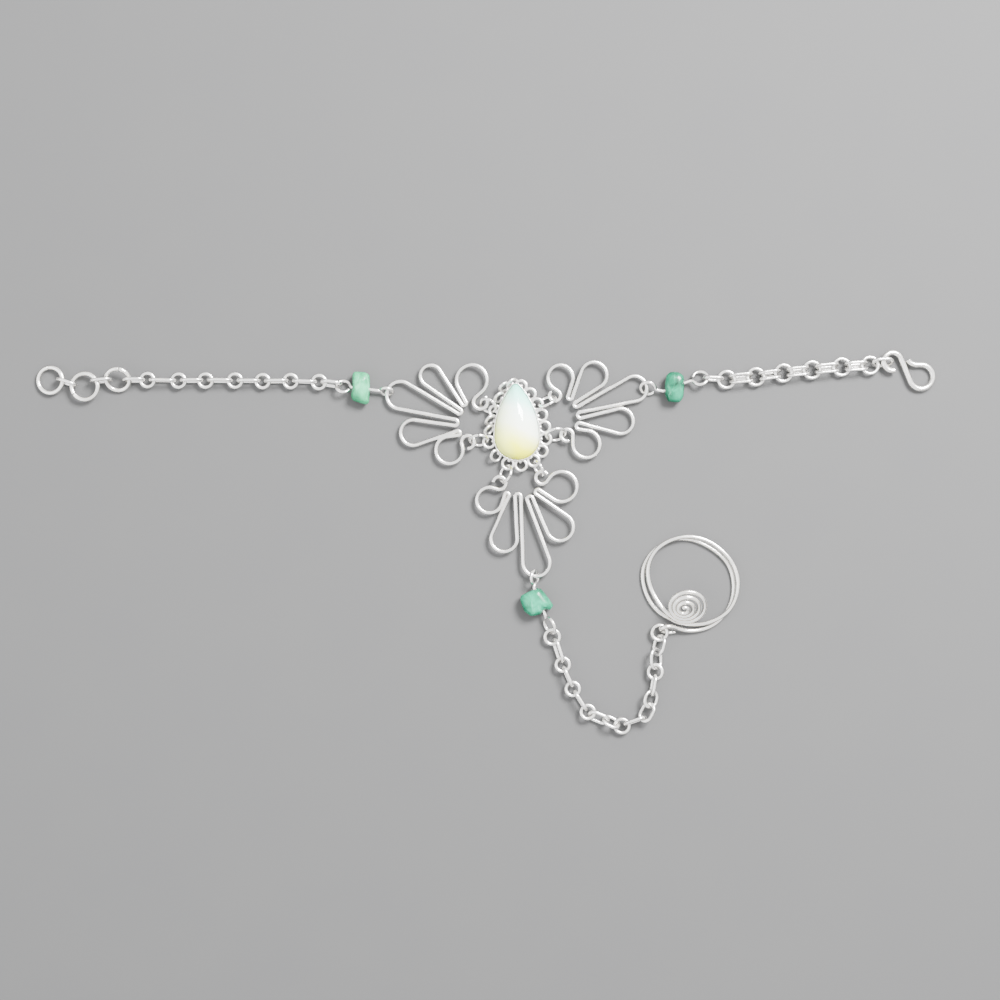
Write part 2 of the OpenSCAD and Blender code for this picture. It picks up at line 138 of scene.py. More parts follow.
def wander(P, amp, seed, wave=4.0, closed=False):
    """A hand-bent wire's small waviness, in millimetres."""
    if closed:
        return P
    rng = np.random.default_rng(seed)
    L = np.r_[0, np.cumsum(np.linalg.norm(np.diff(P, axis=0), axis=1))]
    Q = P.copy()
    for k in range(3):
        a = amp * (0.6 if k == 2 else 1.0)
        v = sum(np.sin(L / (wave * f) * 2 * pi + rng.uniform(0, 6.28)) / (1 + j)
                for j, f in enumerate((1.9, 1.0, 0.55)))
        Q[:, k] += a * v / 1.8
    return Q


# ------------------------------------------------------------------ meshes


def new_mesh(name, verts, faces, smooth=True):
    me = bpy.data.meshes.new(name)
    me.from_pydata([tuple(v) for v in np.asarray(verts) * MM], [], faces)
    me.update()
    if smooth:
        me.polygons.foreach_set("use_smooth", [True] * len(me.polygons))
    ob = bpy.data.objects.new(name, me)
    bpy.context.scene.collection.objects.link(ob)
    return ob


def sweep_data(P, r, sides=16, closed=False, v0=0, squash=1.0):
    """Vertices and faces of round wire along P. Open ends are cut square with a small rounded edge."""
    P = np.asarray(P, float)
    n = len(P)
    if closed:
        T = np.roll(P, -1, 0) - np.roll(P, 1, 0)
    else:
        T = np.empty_like(P)
        T[1:-1] = P[2:] - P[:-2]
        T[0], T[-1] = P[1] - P[0], P[-1] - P[-2]
    T /= np.linalg.norm(T, axis=1)[:, None]
    # parallel transport
    u = np.cross(T[0], [0.12, 0.05, 1.0])
    u /= np.linalg.norm(u)
    U = [u]
    for i in range(1, n):
        w = U[-1] - T[i] * np.dot(U[-1], T[i])
        U.append(w / np.linalg.norm(w))
    U = np.array(U)
    if closed:   # spread the leftover twist round the loop
        w = U[-1] - T[0] * np.dot(U[-1], T[0])
        w /= np.linalg.norm(w)
        ang = atan2(np.dot(np.cross(U[0], w), T[0]), np.dot(U[0], w))
        B = np.cross(T, U)
        a = -ang * np.arange(n) / n
        U = U * np.cos(a)[:, None] + B * np.sin(a)[:, None]
    B = np.cross(T, U)
    R = np.full(n, r, float) if np.isscalar(r) else np.asarray(r, float)
    rows = [(P[i], U[i], B[i], R[i]) for i in range(n)]
    if not closed:
        e = 0.14
        rows = ([(P[0], U[0], B[0], R[0] * 0.0), (P[0], U[0], B[0], R[0] * (1 - e * 1.6)), (P[0] + T[0] * R[0] * e * 0.35, U[0], B[0], R[0] * (1 - e * 0.35)),
                 (P[0] + T[0] * R[0] * e, U[0], B[0], R[0])] + rows[1:-1]
                + [(P[-1] - T[-1] * R[-1] * e, U[-1], B[-1], R[-1]), (P[-1] - T[-1] * R[-1] * e * 0.35, U[-1], B[-1], R[-1] * (1 - e * 0.35)),
                   (P[-1], U[-1], B[-1], R[-1] * (1 - e * 1.6)), (P[-1], U[-1], B[-1], 0.0)])
    ang = 2 * pi * np.arange(sides) / sides
    ca, sa = np.cos(ang), np.sin(ang)
    V, F = [], []
    if closed:
        for p, uu, bb, rr in rows:
            V += list(p + rr * (ca[:, None] * uu + sa[:, None] * bb))
        m = len(rows)
        for i in range(m):
            j = (i + 1) % m
            for k in range(sides):
                k2 = (k + 1) % sides
                F.append((v0 + i * sides + k, v0 + i * sides + k2, v0 + j * sides + k2, v0 + j * sides + k))
        return V, F
    V.append(rows[0][0])
    for p, uu, bb, rr in rows[1:-1]:
        V += list(p + rr * (ca[:, None] * uu + sa[:, None] * bb))
    V.append(rows[-1][0])
    m = len(rows) - 2
    for k in range(sides):
        k2 = (k + 1) % sides
        F.append((v0, v0 + 1 + k2, v0 + 1 + k))
        F.append((v0 + 1 + m * sides, v0 + 1 + (m - 1) * sides + k, v0 + 1 + (m - 1) * sides + k2))
    for i in range(m - 1):
        for k in range(sides):
            k2 = (k + 1) % sides
            F.append((v0 + 1 + i * sides + k, v0 + 1 + i * sides + k2, v0 + 1 + (i + 1) * sides + k2, v0 + 1 + (i + 1) * sides + k))
    return V, F


def wire(name, P, r, mat, nodes=(), sides=16, closed=False):
    V, F = sweep_data(P, r, sides, closed)
    ob = new_mesh(name, V, F)
    return dress(ob, mat, nodes)


def dress(ob, mat, nodes=()):
    ob.data.materials.clear()
    ob.data.materials.append(mat)
    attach(ob, "root")
    if nodes:
        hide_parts(*nodes)
    return ob


# ------------------------------------------------------------------ materials


def node_mat(name):
    m = bpy.data.materials.new(name)
    m.use_nodes = True
    nt = m.node_tree
    b = nt.nodes["Principled BSDF"]
    return m, nt, b


def add(nt, kind, **props):
    n = nt.nodes.new(kind)
    for k, v in props.items():
        setattr(n, k, v)
    return n


def noise(nt, co, scale, detail=2.0, rough=0.5, dist=0.0):
    n = add(nt, "ShaderNodeTexNoise")
    n.inputs["Scale"].default_value = scale
    n.inputs["Detail"].default_value = detail
    n.inputs["Roughness"].default_value = rough
    n.inputs["Distortion"].default_value = dist
    nt.links.new(co, n.inputs["Vector"])
    return n.outputs["Fac"]


def ramp(nt, fac, stops):
    r = add(nt, "ShaderNodeValToRGB")
    e = r.color_ramp.elements
    while len(e) < len(stops):
        e.new(0.5)
    for i, (p, c) in enumerate(stops):
        e[i].position = p
        e[i].color = (*c, 1) if len(c) == 3 else c
    nt.links.new(fac, r.inputs["Fac"])
    return r.outputs["Color"]


def maprange(nt, v, a, b, c, d, smooth=False):
    m = add(nt, "ShaderNodeMapRange")
    if smooth:
        m.interpolation_type = "SMOOTHSTEP"
    m.inputs["From Min"].default_value = a
    m.inputs["From Max"].default_value = b
    m.inputs["To Min"].default_value = c
    m.inputs["To Max"].default_value = d
    nt.links.new(v, m.inputs["Value"])
    return m.outputs["Result"]


def mathn(nt, op, a, b=None):
    m = add(nt, "ShaderNodeMath", operation=op)
    for i, v in enumerate((a, b)):
        if v is None:
            continue
        if isinstance(v, (int, float)):
            m.inputs[i].default_value = v
        else:
            nt.links.new(v, m.inputs[i])
    return m.outputs[0]


def mixc(nt, fac, a, b, blend="MIX"):
    m = add(nt, "ShaderNodeMix", data_type="RGBA", blend_type=blend)
    for name, v in (("Factor", fac), ("A", a), ("B", b)):
        s = [x for x in m.inputs if x.name == name and x.enabled][0] if name == "Factor" else [x for x in m.inputs if x.name == name and x.type == "RGBA"][0]
        if name == "Factor":
            s = m.inputs[0]
        if isinstance(v, (int, float)):
            s.default_value = v
        elif isinstance(v, tuple):
            s.default_value = (*v, 1) if len(v) == 3 else v
        else:
            nt.links.new(v, s)
    return [x for x in m.outputs if x.type == "RGBA"][0]


def silver_mat(name, base=(0.86, 0.85, 0.83), rough=0.2, scratch=1.0):
    """Polished silver-coloured wire: fine drawn lines, small dents, patches of dulled surface."""
    m, nt, b = node_mat(name)
    tc = add(nt, "ShaderNodeTexCoord")
    co = tc.outputs["Object"]
    big = noise(nt, co, 420, 3, 0.6)
    fine = noise(nt, co, 2600, 4, 0.65)
    dent = noise(nt, co, 1100, 2, 0.5, 0.4)
    b.inputs["Metallic"].default_value = 1.0
    tarnish = maprange(nt, big, 0.42, 0.75, 0.0, 1.0, True)
    col = mixc(nt, mathn(nt, "MULTIPLY", tarnish, 0.35), base, (base[0] * 0.80, base[1] * 0.77, base[2] * 0.70))
    nt.links.new(col, b.inputs["Base Color"])
    r1 = maprange(nt, fine, 0.3, 0.75, rough * 0.8, rough * 1.3)
    r2 = mathn(nt, "ADD", r1, mathn(nt, "MULTIPLY", tarnish, 0.10))
    nt.links.new(r2, b.inputs["Roughness"])
    bump = add(nt, "ShaderNodeBump")
    bump.inputs["Strength"].default_value = 0.12 * scratch
    bump.inputs["Distance"].default_value = 0.00004
    nt.links.new(mathn(nt, "ADD", dent, mathn(nt, "MULTIPLY", fine, 0.35)), bump.inputs["Height"])
    nt.links.new(bump.outputs["Normal"], b.inputs["Normal"])
    return m


def stone_mat():
    """Milky opalescent glass: pale cyan-mint above, a white heart that is a painted highlight, yellow glow along the
    lower edge.
    """
    m, nt, b = node_mat("opal_stone")
    tc = add(nt, "ShaderNodeTexCoord")
    sep = add(nt, "ShaderNodeSeparateXYZ")
    nt.links.new(tc.outputs["Object"], sep.inputs[0])
    x, y = sep.outputs[0], sep.outputs[1]
    cloud = noise(nt, tc.outputs["Object"], 190, 3, 0.5, 0.6)
    slant = mathn(nt, "ADD", y, mathn(nt, "MULTIPLY", x, 0.40))
    yy = mathn(nt, "ADD", slant, mathn(nt, "MULTIPLY", mathn(nt, "SUBTRACT", cloud, 0.5), 0.0022))
    t = maprange(nt, yy, -0.0078, 0.0076, 0.0, 1.0)
    # the near-white middle of this ramp is a painted highlight (the white heart) laid over the milky glass
    vert = ramp(nt, t, [(0.0, (0.50, 0.50, 0.004)), (0.08, (0.84, 0.87, 0.003)), (0.20, (0.95, 0.97, 0.010)), (0.31, (0.95, 0.97, 0.30)),
                        (0.44, (0.92, 0.97, 0.80)), (0.66, (0.82, 0.97, 0.90)), (0.84, (0.42, 0.89, 0.76)), (1.0, (0.22, 0.79, 0.62))])
    left = maprange(nt, mathn(nt, "ADD", x, mathn(nt, "MULTIPLY", mathn(nt, "SUBTRACT", cloud, 0.5), 0.003)), -0.0042, 0.0005, 1.0, 0.0, True)
    col = mixc(nt, mathn(nt, "MULTIPLY", left, 0.5), vert, (0.82, 0.98, 0.46))
    nt.links.new(col, b.inputs["Base Color"])
    b.inputs["Roughness"].default_value = 0.07
    b.inputs["IOR"].default_value = 1.5
    b.inputs["Specular IOR Level"].default_value = 0.36
    b.inputs["Subsurface Weight"].default_value = 0.10
    b.inputs["Subsurface Radius"].default_value = (1.0, 1.0, 0.8)
    b.inputs["Subsurface Scale"].default_value = 0.0018
    b.inputs["Coat Weight"].default_value = 0.3
    b.inputs["Coat Roughness"].default_value = 0.03
    bump = add(nt, "ShaderNodeBump")
    bump.inputs["Strength"].default_value = 0.08
    bump.inputs["Distance"].default_value = 0.00003
    nt.links.new(noise(nt, tc.outputs["Object"], 900, 2), bump.inputs["Height"])
    nt.links.new(bump.outputs["Normal"], b.inputs["Normal"])
    return m


def bead_mat(name, light, mid, dark, streak_rot, seed):
    """Green chip stone with paler veins and darker cloudy patches."""
    m, nt, b = node_mat(name)
    tc = add(nt, "ShaderNodeTexCoord")
    mp = add(nt, "ShaderNodeMapping")
    mp.inputs["Rotation"].default_value = (0.2, 0.3, radians(streak_rot))
    mp.inputs["Scale"].default_value = (1.0, 0.28, 1.0)
    mp.inputs["Location"].default_value = (seed * 0.013, seed * 0.007, 0)
    nt.links.new(tc.outputs["Object"], mp.inputs["Vector"])
    vein = noise(nt, mp.outputs["Vector"], 900, 5, 0.6, 1.2)
    patch = noise(nt, tc.outputs["Object"], 330 + seed * 17, 3, 0.55, 0.5)
    grain = noise(nt, tc.outputs["Object"], 5200, 3, 0.6)
    c1 = ramp(nt, patch, [(0.30, dark), (0.48, mid), (0.66, light)])
    v = maprange(nt, vein, 0.55, 0.68, 0.0, 0.6, True)
    c2 = mixc(nt, v, c1, (light[0] * 1.9 + 0.03, min(1, light[1] * 1.3), min(1, light[2] * 1.45)))
    c3 = mixc(nt, maprange(nt, grain, 0.35, 0.7, 0.0, 0.14), c2, dark)
    nt.links.new(c3, b.inputs["Base Color"])
    nt.links.new(maprange(nt, grain, 0.3, 0.7, 0.16, 0.30), b.inputs["Roughness"])
    b.inputs["Subsurface Weight"].default_value = 0.25
    b.inputs["Subsurface Radius"].default_value = (0.5, 1.0, 0.8)
    b.inputs["Subsurface Scale"].default_value = 0.0010
    b.inputs["Specular IOR Level"].default_value = 0.24
    b.inputs["Coat Weight"].default_value = 0.05
    b.inputs["Coat Roughness"].default_value = 0.12
    bump = add(nt, "ShaderNodeBump")
    bump.inputs["Strength"].default_value = 0.25
    bump.inputs["Distance"].default_value = 0.00008
    nt.links.new(mathn(nt, "ADD", mathn(nt, "MULTIPLY", patch, 1.6), mathn(nt, "MULTIPLY", vein, 0.5)), bump.inputs["Height"])
    nt.links.new(bump.outputs["Normal"], b.inputs["Normal"])
    return m


SILVER = silver_mat("silver_wire")
SILVER_RING = silver_mat("silver_ring_wire", (0.87, 0.855, 0.82), 0.17)
SILVER_CHAIN = silver_mat("silver_chain", (0.85, 0.84, 0.82), 0.22, 1.3)
SILVER_CUP = silver_mat("silver_setting", (0.84, 0.83, 0.81), 0.26, 1.6)
STONE = stone_mat()
BEAD_L = bead_mat("bead_left_stone", (0.060, 0.42, 0.21), (0.022, 0.27, 0.12), (0.006, 0.13, 0.055), 8, 1)
BEAD_R = bead_mat("bead_right_stone", (0.008, 0.22, 0.12), (0.002, 0.13, 0.066), (0.0005, 0.028, 0.014), 3, 2)
BEAD_B = bead_mat("bead_bottom_stone", (0.014, 0.30, 0.17), (0.004, 0.19, 0.10), (0.001, 0.085, 0.042), 40, 3)

# ------------------------------------------------------------------ fans
NEAR, SIDE_FAR, BOTTOM_FAR = 1.5, 1.15, 1.65
LEFT_PEGS = [[-7.3, 4.2, 1.40, -1], [-9.0, 8.6, 3.05, 1], [-10.6, 4.0, 0.48, -1], [-17.2, 9.5, 2.10, 1],
             [-11.5, 2.3, 0.48, -1], [-23.3, 5.6, 2.75, 1], [-12.4, 0.1, 0.62, -1], [-20.7, -1.9, 2.55, 1],
             [-11.8, -2.0, 0.48, -1], [-13.5, -5.4, 2.70, 1], [-9.8, -3.8, 1.30, -1]]
RIGHT_PEGS = [[7.6, 5.5, 1.10, 1], [8.7, 9.1, 2.50, -1], [10.6, 5.2, 0.48, 1], [15.4, 9.6, 2.60, -1],
              [11.9, 3.7, 0.48, 1], [23.5, 6.9, 2.50, -1], [12.7, 1.6, 0.60, 1], [20.8, 0.4, 2.50, -1],
              [12.5, -0.6, 0.65, 1], [13.9, -4.2, 2.70, -1], [10.0, -2.4, 1.20, 1]]
BOTTOM_PEGS = [[-3.5, -12.0, 1.30, -1], [-5.5, -15.4, 2.55, 1], [-2.0, -14.4, 0.48, -1], [-2.6, -23.1, 2.60, 1],
               [0.2, -14.7, 0.60, -1], [3.9, -27.9, 2.70, 1], [2.6, -15.2, 0.60, -1], [8.6, -20.8, 2.70, 1],
               [4.2, -13.8, 0.55, -1], [9.0, -12.7, 3.00, 1], [5.0, -10.9, 1.25, -1]]


def side_fan(pegs, sign):
    P = pegged(pegs, 280, 290, 0.11)
    return (P - [8 * sign, 0, 0]) @ ry(sign * degrees(asin((NEAR - SIDE_FAR) / 18))).T + [8 * sign, 0, NEAR]


def bottom_fan(pegs):
    P = pegged(pegs, 280, 290, 0.11)
    return (P + [0, 11.5, 0]) @ rx(-degrees(asin((BOTTOM_FAR - NEAR) / 19))).T + [0, -11.5, NEAR]


FAN_R = 0.4
for nm, P, seed in (("fan_left_wire", side_fan(LEFT_PEGS, -1), 1), ("fan_right_wire", side_fan(RIGHT_PEGS, 1), 2),
                    ("fan_bottom_wire", bottom_fan(BOTTOM_PEGS), 3)):
    wire(nm, wander(P, 0.018, seed, 5.0), FAN_R, SILVER, [nm.replace("_wire", "")], sides=20)

# ------------------------------------------------------------------ stone and setting
STONE_R, SIDE_R, TIP_R, PEAR_Y, LEAN = 4.4, 16.0, 0.9, -2.9, 1.5
SIDE_X = SIDE_R - STONE_R
TIP_Y = sqrt((SIDE_R - TIP_R) ** 2 - SIDE_X ** 2)
SIDE_END = acos(SIDE_X / (SIDE_R - TIP_R))


def pear(g, n=40):
    out = []
    for i in range(n):
        a = SIDE_END * i / n
        out.append((-SIDE_X + (SIDE_R + g) * cos(a), (SIDE_R + g) * sin(a)))
    k = 16
    for i in range(k):
        a = SIDE_END + (pi - 2 * SIDE_END) * i / k
        out.append(((TIP_R + g) * cos(a), TIP_Y + (TIP_R + g) * sin(a)))
    for i in range(n):
        a = pi - SIDE_END * (1 - i / n)
        out.append((SIDE_X + (SIDE_R + g) * cos(a), (SIDE_R + g) * sin(a)))
    for i in range(2 * n):
        a = pi + pi * i / (2 * n)
        out.append(((STONE_R + g) * cos(a), (STONE_R + g) * sin(a)))
    return np.array(out) @ rz(LEAN)[:2, :2].T + [0, PEAR_Y]


def stack(rows, v0=0, caps=True):
    """Closed skin over a stack of equal outlines."""
    m, n = len(rows), len(rows[0])
    V = [p for r in rows for p in r]
    F = []
    for i in range(m - 1):
        for k in range(n):
            k2 = (k + 1) % n
            F.append((v0 + i * n + k, v0 + i * n + k2, v0 + (i + 1) * n + k2, v0 + (i + 1) * n + k))
    if caps:
        lo, hi = np.mean(rows[0], 0), np.mean(rows[-1], 0)
        V += [lo, hi]
        a, b = v0 + m * n, v0 + m * n + 1
        for k in range(n):
            k2 = (k + 1) % n
            F.append((a, v0 + k2, v0 + k))
            F.append((b, v0 + (m - 1) * n + k, v0 + (m - 1) * n + k2))
    return V, F


def layer(k, z):
    c = np.array([0, -1.6])
    q = c + (pear(0) - c) * k
    return np.c_[q, np.full(len(q), z)]


rows = [layer(0.955, 0.66), layer(0.985, 0.72), layer(1.0, 0.9), layer(1.0, 1.55)]
for i in range(1, 60):
    a = radians(90 * i / 60)
    k = cos(a) ** 0.96
    rows.append(layer(k, 0.65 + 1.2 + 3.3 * sin(a) ** 1.02))
rows.append(layer(0.012, 0.65 + 4.5))
V, F = stack(rows)
dress(new_mesh("stone_cabochon", V, F), STONE, ["stone"])

LOOPS = [[0.8, 7.4, 0, 0], [2.6, 5.8, 0, 0], [4.0, 3.8, 0, 0], [4.9, 1.6, 0, 0], [5.5, -0.8, 0, 0], [5.7, -3.2, 0, 0],
         [5.0, -5.6, 0, 0], [3.3, -7.5, 0, 0], [0.8, -8.4, 0, 0], [-1.8, -8.1, 0, 0], [-4.2, -6.5, 60, 35],
         [-5.6, -3.8, 0, 0], [-5.6, -1.4, 48, 60], [-5.3, 0.6, 40, 60], [-4.4, 2.4, 0, 0], [-3.5, 5.1, 42, 55],
         [-2.5, 7.2, 38, 55], [-1.0, 7.9, 40, 58]]
LOOP_R, LOOP_W = 1.1, 0.31
V, F = [], []


def extend(v, f):
    V.extend(v)
    F.extend(f)


# bezel cup: back plate and a thin strip whose top edge is pressed over the stone, slightly uneven
rng = np.random.default_rng(21)
ring_pts = pear(0.05)
nb = len(ring_pts)
ph = rng.uniform(0, 6.28, 5)
t = np.arange(nb) / nb * 2 * pi
uneven = sum(np.sin(t * f + p) for f, p in zip((3, 7, 12, 19, 31), ph)) / 5


def band(g, z, wob=0.0):
    q = pear(g)
    return np.c_[q, z + uneven * wob]


cup = [band(0.30, 0.0), band(0.35, 0.06), band(0.35, 1.9, 0.03), band(0.33, 2.12, 0.05), band(0.26, 2.25, 0.06),
       band(0.16, 2.28, 0.06), band(0.08, 2.22, 0.06), band(0.055, 2.05, 0.05), band(0.05, 0.62), band(-0.3, 0.60)]
v, f = stack(cup)
extend(v, f)
for i, (x, y, d, lean) in enumerate(LOOPS):
    P = circle(LOOP_R, 64) @ rx(lean).T @ rz(d).T + [x, y, NEAR]
    v, f = sweep_data(P, LOOP_W, 16, True, len(V))
    extend(v, f)


def blob(c, rad, seed, n=12):
    """Small smooth drop of solder."""
    g = np.random.default_rng(seed)
    rows = []
    for i in range(1, n):
        a = pi * i / n
        b = 2 * pi * np.arange(20) / 20
        rr = 1 + 0.06 * np.sin(3 * b + g.uniform(0, 6)) + 0.04 * np.sin(2 * b + a * 3)
        rows.append(np.c_[c[0] + rad[0] * sin(a) * np.cos(b) * rr, c[1] + rad[1] * sin(a) * np.sin(b) * rr, np.full(20, c[2] - rad[2] * cos(a))])
    return stack(rows, len(V))


wall = pear(0.35)
for i, (x, y, d, lean) in enumerate(LOOPS):
    w = wall[np.argmin(np.hypot(wall[:, 0] - x, wall[:, 1] - y))]
    u = np.array([x, y]) - w
    u /= np.linalg.norm(u)
    c = w + u * 0.05
    v, f = blob((c[0], c[1], 1.35), (0.42, 0.42, 0.45), 100 + i)
    extend(v, f)
    q = LOOPS[(i + 1) % len(LOOPS)]
    gapd = hypot(q[0] - x, q[1] - y)
    if gapd < 2.75:
        v, f = blob(((x + q[0]) / 2, (y + q[1]) / 2, NEAR - 0.02), (0.27, 0.27, 0.26), 200 + i)
        extend(v, f)
dress(new_mesh("setting_cup_and_loops", V, F), SILVER_CUP, ["setting"])

# ------------------------------------------------------------------ jump rings at the setting


def jump(a, b, r, tilt, start=90, seam=0.12):
    a, b = np.array(a, float), np.array(b, float)
    half = np.linalg.norm(b - a) / 2
    lift = sqrt(r * r - half * half)
    P = circle(r, 72, start, seam) + [0, lift, 0]
    P = P @ rx(tilt).T @ rz(degrees(atan2(b[1] - a[1], b[0] - a[0]))).T
    return P + [(a[0] + b[0]) / 2, (a[1] + b[1]) / 2, NEAR]


LINK_R = 0.31
for nm, args in (("link_upper_left", ([-7.19, 4.31], [-4.43, 2.52], 1.65, 48)), ("link_lower_left", ([-9.4, -3.7], [-5.9, -3.65], 1.8, 58)),
                 ("link_upper_right", ([7.4, 5.25], [4.4, 3.8], 1.74, 65)), ("link_lower_right", ([6, -2.95], [9.65, -2.25], 1.93, 56)),
                 ("link_bottom_left", ([-1.8, -8.5], [-3.15, -11.65], 1.75, 57)), ("link_bottom_right", ([3.45, -7.75], [4.95, -10.5], 1.6, 68))):
    wire(nm + "_ring", jump(*args), LINK_R, SILVER, [nm])

# ------------------------------------------------------------------ pins and beads
PIN_R = 0.33


def pin_end(row):
    """Straight wire from the bead's mouth to a neck, then round one eye. Row: start x, y, z, eye x, y, z, eye radius, tilt."""
    a, e = np.array(row[:3], float), np.array(row[3:6], float)
    v = e - a
    reach, head, r, nk = hypot(v[0], v[1]), atan2(v[1], v[0]), row[6], 0.45
    back = sqrt((r + nk + 0.06) ** 2 - nk * nk)
    f = pegged([[0, 0, 0, 1], [reach - back, -nk, nk, -1], [reach, 0, r, 1]], 0, 308, 0.09)
    x, y = f[:, 0], f[:, 1] * cos(radians(row[7]))
    z = f[:, 1] * sin(radians(row[7])) + v[2] * f[:, 0] / reach
    return np.stack([a[0] + x * cos(head) - y * sin(head), a[1] + x * sin(head) + y * cos(head), a[2] + z], 1)


def softened(P, half=5):
    """Rounds the corners that a wire cannot have."""
    ker = np.hanning(2 * half + 3)[1:-1]
    ker /= ker.sum()
    pad = np.pad(P, ((half, half), (0, 0)), mode="edge")
    Q = np.stack([np.convolve(pad[:, k], ker, "valid") for k in range(3)], 1)
    Q[0], Q[-1] = P[0], P[-1]
    return Q


def pin(A, B):
    return softened(evenly(np.vstack([pin_end(A)[::-1], pin_end(B)]), 0.08))


PINS = {"pin_left": ([-32.8, 7.08, 1.48, -34.75, 7.3, 1.48, 1.40, 36], [-29.1, 6.66, 1.47, -26.05, 6.3, 1.47, 1.26, 59]),
        "pin_right": ([29.3, 6.35, 1.43, 26.16, 6.98, 1.32, 1.46, -39], [34.0, 8.2, 1.44, 36.61, 8.98, 1.42, 1.49, -28]),
        "pin_bottom": ([3.4, -33.0, 1.87, 3.5, -30.8, 1.85, 1.38, 60], [5.3, -37.6, 1.95, 6.52, -40.43, 1.91, 1.7, 60])}
for nm, (A, B) in PINS.items():
    wire(nm + "_wire", pin(A, B), PIN_R, SILVER, [nm], sides=18)

CHIPS = {
    "bead_left": ([-31.2, 7.1], [[1.8, 0.9], [1.7, 2.5], [0.8, 3.1], [-1.2, 3.25], [-1.7, 2.6], [-1.65, 0.4], [-1.95, -1.7],
                  [-1.6, -2.7], [0.9, -3.45], [1.6, -2.9]],
                  [[0.04, 0.50, -0.1, 0], [0.3, 0.78, 0, 0], [0.9, 0.95, 0, 0], [1.9, 1, 0, 0], [2.7, 0.93, 0, 0.05], [3.3, 0.72, -0.1, 0.1], [3.58, 0.40, -0.2, 0.2]],
                  "pin_left", BEAD_L, 5),
    "bead_right": ([31.5, 7.2], [[1.9, 0.6], [1.75, 2.2], [0.8, 3.0], [-0.9, 3.0], [-1.75, 2.2], [-1.95, 0.6], [-1.95, -1.4],
                   [-1.3, -2.9], [0.9, -3.1], [1.7, -2.0]],
                   [[0.04, 0.50, 0, 0], [0.35, 0.80, 0, 0], [0.95, 0.95, 0, 0], [1.9, 1, 0, 0], [2.8, 0.94, 0, 0.05], [3.4, 0.76, 0.05, 0.2], [3.68, 0.45, 0.1, 0.3]],
                   "pin_right", BEAD_R, 6),
    "bead_bottom": ([4.0, -35.6], [[3.2, -0.8], [2.2, 0.7], [0.9, 2.4], [0.1, 2.7], [-1.4, 2.0], [-3.2, 1.2], [-3.4, 0.2],
                    [-2.6, -1.9], [-1.2, -3.0], [0.6, -2.7], [1.4, -1.7], [2.6, -1.7]],
                    [[0.04, 0.50, 0, 0], [0.4, 0.80, 0, 0], [1.1, 0.96, 0, 0], [2.2, 1, 0, 0], [3.0, 0.93, 0, 0.05], [3.6, 0.72, -0.1, 0.15], [3.88, 0.42, -0.2, 0.2]],
                    "pin_bottom", BEAD_B, 7)}


def chip(name, c, outline, layers, pin_name, mat, seed):
    o = np.array(outline)
    n = len(o)
    # corners of a tumbled chip: spline through the corners, pulled part-way to the straight facets
    ring = []
    for i in range(n):
        for k in range(10):
            t = k / 10
            s = span_pt(o[i - 1], o[i], o[(i + 1) % n], o[(i + 2) % n], t)
            l = o[i] * (1 - t) + o[(i + 1) % n] * t
            ring.append(0.45 * s + 0.55 * l)
    ring = np.array(ring)
    prof = curve([[l[0], l[1], 0] for l in layers], 5)
    sh = curve([[l[2], l[3], 0] for l in layers], 5)
    g = np.random.default_rng(seed)
    dirs = g.normal(size=(5, 3))
    dirs /= np.linalg.norm(dirs, axis=1)[:, None]
    rows = []
    for p, q in zip(prof, sh):
        xy = ring * p[1] + [c[0] + q[0], c[1] + q[1]]
        z = np.full(len(xy), p[0])
        P = np.c_[xy, z]
        rel = P - [c[0], c[1], 1.9]
        # shallow conchoidal hollows
        for d in dirs:
            k = np.clip((rel @ d) / 3.4, 0, 1) ** 3
            P = P - 0.10 * k[:, None] * d
        P[:, 2] = np.clip(P[:, 2], 0.03, None)
        rows.append(P)
    V, F = stack(rows)
    ob = new_mesh(name, V, F)
    # the drilled hole along the pin
    A, B = PINS[pin_name]
    a, e = np.array(A[:3], float), np.array(B[:3], float)
    u = (e - a) / np.linalg.norm(e - a)
    hx = np.linspace(-6, 6, 25)
    v, f = sweep_data((a + e) / 2 + hx[:, None] * u, 0.43, 24)
    cut = new_mesh(name + "_drill", v, f)
    mod = ob.modifiers.new("hole", "BOOLEAN")
    mod.operation, mod.object, mod.solver = "DIFFERENCE", cut, "EXACT"
    dg = bpy.context.evaluated_depsgraph_get()
    me = bpy.data.meshes.new_from_object(ob.evaluated_get(dg))
    ob.modifiers.clear()
    ob.data = me
    me.polygons.foreach_set("use_smooth", [True] * len(me.polygons))
    bpy.data.objects.remove(cut)
    bpy.context.view_layer.update()
    ob.data.set_sharp_from_angle(angle=radians(38))
    return dress(ob, mat, [name.replace("_chip", "")])


for nm, args in CHIPS.items():
    chip(nm + "_chip", *args)

# ------------------------------------------------------------------ end rings, end links, hook
END_R = 0.45
for nm, x, y, z, r, lx, ly, s in (("end_ring_1", -93.4, 8.6, 0.95, 2.55, 0, -9, 100), ("end_ring_2", -86.4, 7.3, 1.55, 2.6, 0, 0, 215),
                                  ("end_ring_3", -79.78, 8.67, 1.75, 2.35, 28, 0, 80)):
    P = circle(r, 96, s, 0.10) @ (ry(ly) @ rx(lx)).T + [x, y, z]
    wire(nm + "_wire", P, END_R, SILVER_RING, [nm], sides=20)


def olink(at, size, d, dirn, tilt, pitch=0.0):
    return oval(size[0], size[1], d) @ rx(tilt).T @ ry(pitch).T @ rz(dirn).T + np.array(at)


